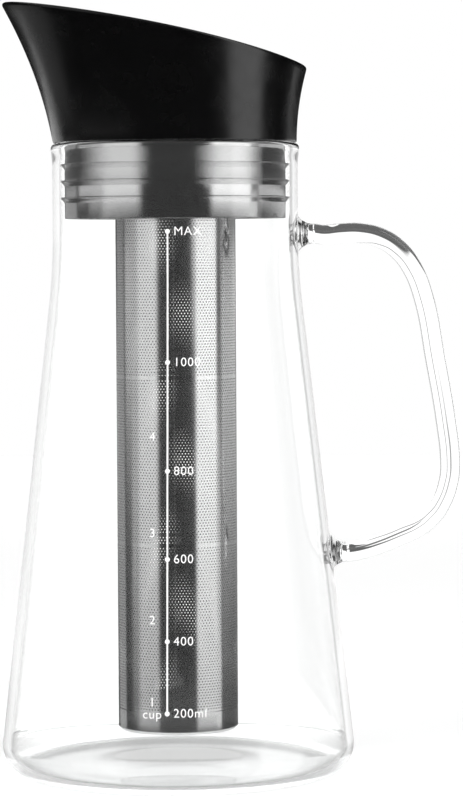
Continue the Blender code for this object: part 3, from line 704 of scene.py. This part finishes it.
rod = finish_mesh("rod", bent_rod("rod", handle_route()), glass_material)
pot = finish_mesh("glass_pot", spin_outline(POT_OUTLINE, POT_STEPS, closed=False),
                  glass_material)
fuse = pot.modifiers.new("fuse", "BOOLEAN")
fuse.operation = "UNION"
fuse.solver = "EXACT"
fuse.object = rod
shape = taken_shape(pot, SAME_POINT)
bpy.data.objects.remove(rod)
melt_weld(shape, NECK_RADIUS, HANDLE_TOP)
melt_weld(shape, cone_radius(HANDLE_FOOT), HANDLE_FOOT)
glass_pot = finish_mesh("glass_pot", shape, glass_material)
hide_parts("glass_body", "glass_handle")
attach(glass_pot, "carafe")

# Printed scale
# White ceramic ink fired on the front of the glass: a line with round marks, millilitres
# on its right and cups on its left.
INK = 0.00006
PRINT_TURN = math.radians(-92.6)
LINE_WIDTH = 0.00055
DOT_RADIUS = 0.00078
LETTER_HEIGHT = 0.0027
CAPITAL_SHARE = 0.7
LETTER_SPACING = 1.12
TEXT_GAP = 0.0019
CUP_GAP = 0.0047
LINE_CUTS = 80
DOT_STEPS = 24
SAME_POINT_IN_PRINT = 1e-7
INK_LIGHT = (0.78, 0.78, 0.77, 1)
INK_DARK = (0.68, 0.68, 0.68, 1)
# Height of each mark and its words
MARKS = (
    (0.1757, "MAX"), (0.1349, "1000"), (0.1012, "800"), (0.0740, "600"), (0.0487, "400"),
    (0.0266, "200ml"),
)
CUPS = ((0.1118, "4"), (0.0820, "3"), (0.0552, "2"), (0.0300, "1"), (0.0263, "cup"))


def front_radius(z):
    """Outer radius of the glass at a height, on the neck, the shoulder and the cone."""
    best = min(range(len(outer)), key=lambda k: abs(outer[k][1] - z))
    if outer[best][1] < z and best + 1 < len(outer):
        low, high = outer[best], outer[best + 1]
    elif best > 0:
        low, high = outer[best - 1], outer[best]
    else:
        return outer[0][0]
    share = (z - low[1]) / max(high[1] - low[1], 1e-9)
    return low[0] + (high[0] - low[0]) * min(max(share, 0.0), 1.0)


def wrap_print(shape, z_middle):
    """Lay a flat print, drawn in X and Y about its mark, on the curved glass."""
    for vert in shape.verts:
        x, y, lift = vert.co
        z = z_middle + y
        radius = front_radius(z)
        turn = PRINT_TURN + x / radius
        radius += lift
        vert.co = (radius * math.cos(turn), radius * math.sin(turn), z)


def words(text, x, z, align):
    """Words as a thin solid of ink, beside the line at a height."""
    curve = bpy.data.curves.new("ink_words", "FONT")
    curve.body = text
    curve.size = LETTER_HEIGHT / CAPITAL_SHARE
    curve.align_x = align
    curve.align_y = "CENTER"
    curve.space_character = LETTER_SPACING
    curve.extrude = INK / 2
    drawn = bpy.data.objects.new("ink_words", curve)
    bpy.context.scene.collection.objects.link(drawn)
    shape = taken_shape(drawn, SAME_POINT_IN_PRINT)
    bmesh.ops.translate(shape, verts=shape.verts, vec=(x, 0, INK / 2))
    wrap_print(shape, z)
    return shape


def join(pieces):
    """Several bmeshes as one."""
    whole = bmesh.new()
    for piece in pieces:
        mesh = bpy.data.meshes.new("part")
        piece.to_mesh(mesh)
        piece.free()
        whole.from_mesh(mesh)
        bpy.data.meshes.remove(mesh)
    return whole


def ink_dot(z):
    shape = bmesh.new()
    bmesh.ops.create_cone(shape, cap_ends=True, segments=DOT_STEPS, radius1=DOT_RADIUS,
                          radius2=DOT_RADIUS, depth=INK)
    bmesh.ops.translate(shape, verts=shape.verts, vec=(0, 0, INK / 2))
    wrap_print(shape, z)
    return shape


def ink_line(low, high):
    """The upright line, in short lengths that follow the glass."""
    shape = bmesh.new()
    bmesh.ops.create_cube(shape, size=1.0)
    bmesh.ops.scale(shape, verts=shape.verts, vec=(LINE_WIDTH, high - low, INK))
    bmesh.ops.translate(shape, verts=shape.verts, vec=(0, 0, INK / 2))
    upright = [edge for edge in shape.edges
               if abs(edge.verts[0].co.y - edge.verts[1].co.y) > LINE_WIDTH]
    bmesh.ops.subdivide_edges(shape, edges=upright, cuts=LINE_CUTS, use_grid_fill=True)
    wrap_print(shape, (low + high) / 2)
    return shape


ink_material, tree = new_material("white_print")
grains = noise(tree, object_place(tree), 6000.0, 2.0)
ink = principled(tree, {
    "Base Color": mix_colours(tree, grains, INK_LIGHT, INK_DARK),
    "Roughness": between(tree, grains, 0.3, 0.7, 0.35, 0.55),
    "Normal": bumps(tree, grains, 0.4, 0.00001)})
output(tree, ink)

prints = [ink_line(MARKS[-1][0], MARKS[0][0])]
prints += [ink_dot(z) for z, _ in MARKS]
prints += [words(text, TEXT_GAP, z, "LEFT") for z, text in MARKS]
prints += [words(text, -CUP_GAP, z, "CENTER") for z, text in CUPS]
scale_print = finish_mesh("printed_scale", join(prints), ink_material, math.radians(30))
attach(scale_print, "carafe")

# Pouring funnel
# One moulding in black satin plastic: a flaring funnel with a slanted, rounded rim, a
# floor with a throat, and a skirt that goes down into the neck.
LID_FOOT = POT_HEIGHT + 0.0003
LID_RADIUS = 0.0395
LID_WALL = 0.0024
LID_CORNER = 0.0004
SPOUT_REACH = -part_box("spout_funnel")[0].x
SPOUT_RISE = 0.04515
BACK_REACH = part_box("spout_funnel")[1].x
BACK_RISE = 0.0244
RIM_CROWN_BACK = 0.0080
RIM_CROWN_SPOUT = 0.0030
SPOUT_LEAN_SHARE = 0.47
SKIRT_RADIUS = 0.0347
SKIRT_BORE = 0.0327
SKIRT_DEPTH = 0.0231
FLOOR_RISE = 0.0072
FLOOR_THICK = 0.0020
LEDGE_RADIUS = 0.0291
LEDGE_TOP = FLOOR_THICK + 0.0012
UP_THE_BOWL = (LEDGE_RADIUS + 0.006, FLOOR_RISE - 0.002)
THROAT_RADIUS = 0.0245
THROAT_WALL = 0.0018
THROAT_DEPTH = 0.0050
LID_STEPS = 160
WALL_ROWS = 22
RIM_ROWS = 9
RIM_PASSES = 30
MOULD_ROUND = 0.00035
# The wide, cloudy grain's scale as a share of the fine one's
WIDE_GRAIN = 0.03


def spout_front(rise):
    share = rise / SPOUT_RISE
    flare = SPOUT_LEAN_SHARE * share + (1 - SPOUT_LEAN_SHARE) * share ** 2
    return LID_RADIUS + (SPOUT_REACH - LID_RADIUS) * flare


def spout_back(rise):
    return LID_RADIUS + (BACK_REACH - LID_RADIUS) * (rise / BACK_RISE) ** 2


def funnel_point(turn, rise, inset):
    """A point on the funnel's round section at a rise, moved in from its outer wall."""
    front = spout_front(rise)
    back = spout_back(rise)
    radius = (front + back) / 2 - inset
    return ((back - front) / 2 + radius * math.cos(turn), radius * math.sin(turn), rise)


def rim_rise(turn):
    """Where the slanted, slightly crowned rim cuts the funnel's wall."""
    rise = (SPOUT_RISE + BACK_RISE) / 2
    for _ in range(RIM_PASSES):
        share = (BACK_REACH - funnel_point(turn, rise, 0.0)[0]) / (BACK_REACH + SPOUT_REACH)
        crown = RIM_CROWN_BACK + (RIM_CROWN_SPOUT - RIM_CROWN_BACK) * share
        rise = BACK_RISE + (SPOUT_RISE - BACK_RISE) * share + crown * share * (1 - share)
    return rise


def flared(inset, low, share, above=0.0):
    """A ring of the flaring wall, as a rule that gives its point at a turn."""
    def point(turn):
        rise = low + (rim_rise(turn) - LID_WALL / 2 - low) * share + above
        return funnel_point(turn, rise, inset)
    return point


def plain(radius, z):
    return lambda turn: (radius * math.cos(turn), radius * math.sin(turn), z)


def rounded(corners, radius, steps=4):
    """Plain rings through (radius, height) corners, each rounded off."""
    rings = []
    for before, corner, after in zip(corners, corners[1:], corners[2:]):
        start = Vector(before) - Vector(corner)
        end = Vector(after) - Vector(corner)
        start.length = end.length = radius
        for step in range(steps + 1):
            t = step / steps
            dot = (1 - t) ** 2 * start + t ** 2 * end + Vector(corner)
            rings.append(plain(dot.x, dot.y))
    return rings


rings = []
half = LID_WALL / 2
for row in range(WALL_ROWS + 1):
    rings.append(flared(0.0, LID_CORNER * 2, row / WALL_ROWS))
for row in range(1, RIM_ROWS):
    angle = math.pi * row / RIM_ROWS
    rings.append(flared(half * (1 - math.cos(angle)), 0.0, 1.0, half * math.sin(angle)))
for row in range(WALL_ROWS + 1):
    rings.append(flared(LID_WALL, FLOOR_RISE, 1 - row / WALL_ROWS))
THROAT_OUTER = THROAT_RADIUS + THROAT_WALL
rings += rounded((
    UP_THE_BOWL, (LEDGE_RADIUS, LEDGE_TOP), (LEDGE_RADIUS, FLOOR_THICK),
    (THROAT_RADIUS, FLOOR_THICK), (THROAT_RADIUS, -THROAT_DEPTH),
    (THROAT_OUTER, -THROAT_DEPTH), (THROAT_OUTER, 0.0), (SKIRT_BORE, 0.0),
    (SKIRT_BORE, -SKIRT_DEPTH), (SKIRT_RADIUS, -SKIRT_DEPTH), (SKIRT_RADIUS, 0.0),
    (LID_RADIUS, 0.0), (LID_RADIUS, LID_CORNER * 4)), MOULD_ROUND)
# A plain tube with one row for each ring, whose points then move to their rings
shape = spin_outline([(1.0, z) for z in range(len(rings))], LID_STEPS)
for vert in shape.verts:
    turn = math.atan2(vert.co.y, vert.co.x)
    vert.co = rings[round(vert.co.z)](turn)
bmesh.ops.recalc_face_normals(shape, faces=shape.faces)
bmesh.ops.translate(shape, verts=shape.verts, vec=(0, 0, LID_FOOT))


def grain_group():
    """Fine moulded or brushed grain: noise of a size, as a mask and as a height."""
    group = bpy.data.node_groups.new("fine_grain", "ShaderNodeTree")
    group.interface.new_socket("Vector", in_out="INPUT", socket_type="NodeSocketVector")
    group.interface.new_socket("Size", in_out="INPUT", socket_type="NodeSocketFloat")
    group.interface.new_socket("Fine", in_out="OUTPUT", socket_type="NodeSocketFloat")
    group.interface.new_socket("Wide", in_out="OUTPUT", socket_type="NodeSocketFloat")
    given = group.nodes.new("NodeGroupInput").outputs
    wide_size = product(group, given["Size"], WIDE_GRAIN)
    add_node(group, "NodeGroupOutput", {
        "Fine": noise(group, given["Vector"], given["Size"], 3.0),
        "Wide": noise(group, given["Vector"], wide_size, 2.0)})
    return group


FINE_GRAIN = grain_group()


def grain(tree, vector, size):
    made = add_node(tree, "ShaderNodeGroup", node_tree=FINE_GRAIN)
    tree.links.new(vector, made.inputs["Vector"])
    made.inputs["Size"].default_value = size
    return made.outputs


def moulded_plastic(name, colour, worn, roughness, size):
    """Satin moulded plastic: fine grain in its surface, a little cloudier in places."""
    material, tree = new_material(name)
    masks = grain(tree, object_place(tree), size)
    output(tree, principled(tree, {
        "Base Color": mix_colours(tree, masks["Wide"], (*colour, 1), (*worn, 1)),
        "Roughness": between(tree, masks["Wide"], 0.3, 0.7, roughness - 0.03, roughness + 0.04),
        "Normal": bumps(tree, masks["Fine"], 0.25, 0.00001)}))
    return material


black_plastic = moulded_plastic("black_plastic", (0.0016, 0.0016, 0.0017),
                                (0.0024, 0.0024, 0.0025), 0.24, 5000.0)
funnel = finish_mesh("pouring_funnel", shape, black_plastic, math.radians(40))
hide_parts("spout_funnel")
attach(funnel, "lid")

# Steel collar
# A drawn stainless sleeve over the skirt, brushed round, with its edges broken by a small
# round.
COLLAR_LOW, COLLAR_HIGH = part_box("collar_sleeve")
COLLAR_RADIUS = 0.0358
COLLAR_SHEET = 0.0008
COLLAR_BORE = COLLAR_RADIUS - COLLAR_SHEET
COLLAR_EDGE = 0.0003
COLLAR_STEPS = 192


def rounded_outline(corners, radius, steps=3):
    """A closed outline whose corners are rounded off by a vertex bevel."""
    shape = bmesh.new()
    dots = [shape.verts.new((r, 0, z)) for r, z in corners]
    for pair in zip(dots, dots[1:] + dots[:1]):
        shape.edges.new(pair)
    bmesh.ops.bevel(shape, geom=dots, offset=radius, offset_type="OFFSET", affect="VERTICES",
                    segments=steps, profile=0.5, material=-1)
    shape.verts.ensure_lookup_table()
    walk = [shape.verts[0]]
    while len(walk) < len(shape.verts):
        following = [edge.other_vert(walk[-1]) for edge in walk[-1].link_edges]
        following = [vert for vert in following if vert not in walk]
        walk.append(following[0])
    points = [(vert.co.x, vert.co.z) for vert in walk]
    shape.free()
    return points


ALONG_BRUSHING = 0.0004
BRUSHED_SIZE = 9000.0
CLOUD_SIZE = 1500.0
DULL_SHARE = 0.93


def turned_steel(name, colour, roughness, spread, depth):
    """Steel brushed or polished round: fine lines round the axis in gloss and surface."""
    material, tree = new_material(name)
    spot = object_place(tree)
    across = split(tree, spot)
    turn = calc(tree, "ARCTAN2", across["Y"], across["X"])
    lines = add_node(tree, "ShaderNodeCombineXYZ", {
        "X": product(tree, turn, ALONG_BRUSHING), "Y": across["Z"], "Z": 0.0}).outputs[0]
    brushed = grain(tree, lines, BRUSHED_SIZE)["Fine"]
    clouds = grain(tree, spot, CLOUD_SIZE)["Wide"]
    dull = [share * DULL_SHARE for share in colour]
    output(tree, principled(tree, {
        "Base Color": mix_colours(tree, clouds, (*colour, 1), (*dull, 1)), "Metallic": 1.0,
        "Roughness": between(tree, brushed, 0.25, 0.75, roughness - spread, roughness + spread),
        "Normal": bumps(tree, brushed, 0.5, depth)}))
    return material


brushed_steel = turned_steel("brushed_steel", (0.64, 0.64, 0.64), 0.13, 0.015, 0.0000002)
shape = spin_outline(rounded_outline((
    (COLLAR_RADIUS, COLLAR_HIGH.z), (COLLAR_RADIUS, COLLAR_LOW.z),
    (COLLAR_BORE, COLLAR_LOW.z), (COLLAR_BORE, COLLAR_HIGH.z)), COLLAR_EDGE), COLLAR_STEPS)
collar = finish_mesh("steel_collar", shape, brushed_steel, math.radians(30))
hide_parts("collar_sleeve")
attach(collar, "lid")

# Seal fins
# Three thin rings of clear silicone round the collar. Each has a thick root and a thin
# edge that drags on the glass and shuts the neck.
FIN_ROOT = 0.0020
FIN_EDGE = 0.0004
FIN_DROOP = 0.0003
FIN_GAP = 0.0001
# Out from the root and down from the top
FIN_SHOULDER = (0.0003, 0.0001)
FIN_HEEL = (0.0006, 0.0011)
SILICONE_TINT = (0.97, 0.97, 0.97, 1)
SILICONE_SHADOW = (0.85, 0.85, 0.85, 1)
SILICONE_BODY = (0.3, 0.3, 0.3, 1)
SILICONE_IOR = 1.03
SILICONE_DENSITY = 70.0

clear_silicone, tree = new_material("clear_silicone")
masks = grain(tree, object_place(tree), 3000.0)
rubber = principled(tree, {
    "Base Color": SILICONE_TINT, "Roughness": between(tree, masks["Wide"], 0.3, 0.7, 0.03, 0.10),
    "IOR": SILICONE_IOR, "Transmission Weight": 1.0,
    "Normal": bumps(tree, masks["Fine"], 0.2, 0.00001)})
shadow = add_node(tree, "ShaderNodeLightPath").outputs["Is Shadow Ray"]
body = add_node(tree, "ShaderNodeVolumeAbsorption", {
    "Color": SILICONE_BODY, "Density": SILICONE_DENSITY}).outputs[0]
add_node(tree, "ShaderNodeOutputMaterial", {
    "Surface": mix_shaders(tree, shadow, rubber, see_through(tree, SILICONE_SHADOW)),
    "Volume": body})
for name in ("seal_fin_top", "seal_fin_middle", "seal_fin_bottom"):
    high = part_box(name)[1]
    root, tip, top = COLLAR_RADIUS + FIN_GAP, high.x, high.z
    outline = [(root, top), (root + FIN_SHOULDER[0], top - FIN_SHOULDER[1]),
               (tip, top - FIN_DROOP), (tip, top - FIN_DROOP - FIN_EDGE),
               (root + FIN_HEEL[0], top - FIN_HEEL[1]), (root, top - FIN_ROOT)]
    fin = finish_mesh(name.replace("seal_fin", "soft_fin"), spin_outline(outline, POT_STEPS),
                      clear_silicone, math.radians(40))
    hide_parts(name)
    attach(fin, "lid")

# Filter tube
# Polished stainless sheet with about twenty thousand round holes in close rows, rolled to
# a tube and welded shut. It is made in three lengths.
TUBE_LOW, TUBE_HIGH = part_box("filter_tube")
TUBE_RADIUS = 0.0195
TUBE_SHEET = 0.0003
HOLES_ROUND = 118
HOLE_RADIUS = 0.00027
HOLE_ROW = math.tau * TUBE_RADIUS / HOLES_ROUND * math.sin(math.radians(60))
TUBE_LENGTHS = 3

polished_steel = turned_steel("polished_steel", (0.74, 0.74, 0.74), 0.14, 0.02, 0.0000005)


def perforated_length(low, high):
    """A length of the tube: a lattice of triangles round it, with a hole at each corner."""
    rows = round((high - low) / HOLE_ROW)
    shape = bmesh.new()
    bmesh.ops.create_grid(shape, x_segments=HOLES_ROUND, y_segments=rows, size=1.0)
    for vert in shape.verts:
        column = round((vert.co.x + 1) / 2 * HOLES_ROUND)
        row = round((vert.co.y + 1) / 2 * rows)
        turn = math.tau * (column + 0.5 * (row % 2)) / HOLES_ROUND
        vert.co = (TUBE_RADIUS * math.cos(turn), TUBE_RADIUS * math.sin(turn),
                   low + (high - low) * row / rows)
    bmesh.ops.remove_doubles(shape, verts=shape.verts, dist=1e-5)
    bmesh.ops.triangulate(shape, faces=shape.faces, quad_method="SHORT_EDGE")
    corners = [vert for vert in shape.verts if not vert.is_boundary]
    punched = bmesh.ops.bevel(shape, geom=corners, offset=HOLE_RADIUS, offset_type="OFFSET",
                              affect="VERTICES", segments=1, profile=0.5, material=-1)
    bmesh.ops.delete(shape, geom=punched["faces"], context="FACES_ONLY")
    bmesh.ops.recalc_face_normals(shape, faces=shape.faces)
    bmesh.ops.solidify(shape, geom=shape.faces[:], thickness=TUBE_SHEET)
    return shape


length = (TUBE_HIGH.z - TUBE_LOW.z) / TUBE_LENGTHS
for number in range(TUBE_LENGTHS):
    low = TUBE_LOW.z + number * length
    shape = perforated_length(low, low + length)
    tube = finish_mesh(f"filter_mesh_{number + 1}", shape, polished_steel, math.radians(35))
    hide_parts("filter_tube")
    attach(tube, "filter")

# Filter cap
# A pressed steel cup over the tube's foot, with a plain band and a small round corner.
CAP_LOW, CAP_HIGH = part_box("filter_base_cap")
BAND_TOP = TUBE_LOW.z - 0.0003
CAP_CORNER = 0.0010
CAP_CORNER_STEPS = 8
CAP_FLOOR = CAP_LOW.z + 0.0008
CAP_BORE = 0.0182
CAP_NECK = CAP_BORE + 0.0004
outline = [(0, CAP_FLOOR), (CAP_BORE, CAP_FLOOR), (CAP_BORE, CAP_HIGH.z),
           (CAP_NECK, CAP_HIGH.z), (CAP_NECK, BAND_TOP), (TUBE_RADIUS, BAND_TOP)]
outline += arc((TUBE_RADIUS - CAP_CORNER, CAP_LOW.z + CAP_CORNER), CAP_CORNER, 0, -math.pi / 2,
               CAP_CORNER_STEPS)
outline.append((0, CAP_LOW.z))
cap = finish_mesh("filter_cap", spin_outline(outline, POT_STEPS, closed=False), polished_steel,
                  math.radians(30))
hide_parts("filter_base_cap")
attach(cap, "filter")

# Inner pieces
# The carrier and the flap's seat are dark moulded plastic, the ring and seal soft
# silicone, and the flap, its pin, its weight and the filter's top ring turned steel.
# Their sharp edges are rounded off. The soft ring is round already and stays as it is.
dark_plastic = moulded_plastic("dark_plastic", (0.030, 0.030, 0.032), (0.038, 0.038, 0.040),
                               0.42, 4000.0)
dark_silicone = moulded_plastic("dark_silicone", (0.060, 0.060, 0.060),
                                (0.072, 0.072, 0.072), 0.55, 3000.0)
EDGE_ANGLE = math.radians(35)
EDGE_STEPS = 2


def rounded_copy(name, material, radius):
    """A piece drawn again from its frame node, with its sharp edges rounded."""
    shape = bmesh.new()
    shape.from_mesh(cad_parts[name].data)
    bmesh.ops.remove_doubles(shape, verts=shape.verts, dist=SAME_POINT)
    bmesh.ops.dissolve_limit(shape, angle_limit=math.radians(1), verts=shape.verts,
                             edges=shape.edges)
    sharp = [edge for edge in shape.edges
             if edge.is_manifold and edge.calc_face_angle() > EDGE_ANGLE]
    bmesh.ops.bevel(shape, geom=sharp, offset=radius, offset_type="OFFSET", affect="EDGES",
                    segments=EDGE_STEPS, profile=0.5, clamp_overlap=True, material=-1)
    return finish_mesh(name + "_rounded", shape, material, EDGE_ANGLE)


# Name, material, radius of its edges, body and slot
ROUNDED_PIECES = (
    ("filter_carrier", dark_plastic, 0.00025, "lid", "dark_plastic"),
    ("flap_seat", dark_plastic, 0.00020, "lid", "dark_plastic"),
    ("flap_seal", dark_silicone, 0.00020, "flap", "dark_silicone"),
    ("flap_plate", brushed_steel, 0.00015, "flap", "brushed_steel"),
    ("flap_pin", polished_steel, 0.00015, "lid", "filter_steel"),
    ("flap_weight", polished_steel, 0.00030, "flap", "filter_steel"),
    ("filter_top_ring", polished_steel, 0.00015, "filter", "filter_steel"),
)
for name, material, radius, body, slot in ROUNDED_PIECES:
    piece = rounded_copy(name, material, radius)
    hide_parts(name)
    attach(piece, body)
soft_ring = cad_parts["filter_seal_ring"]
soft_ring.data.materials.clear()
soft_ring.data.materials.append(dark_silicone)
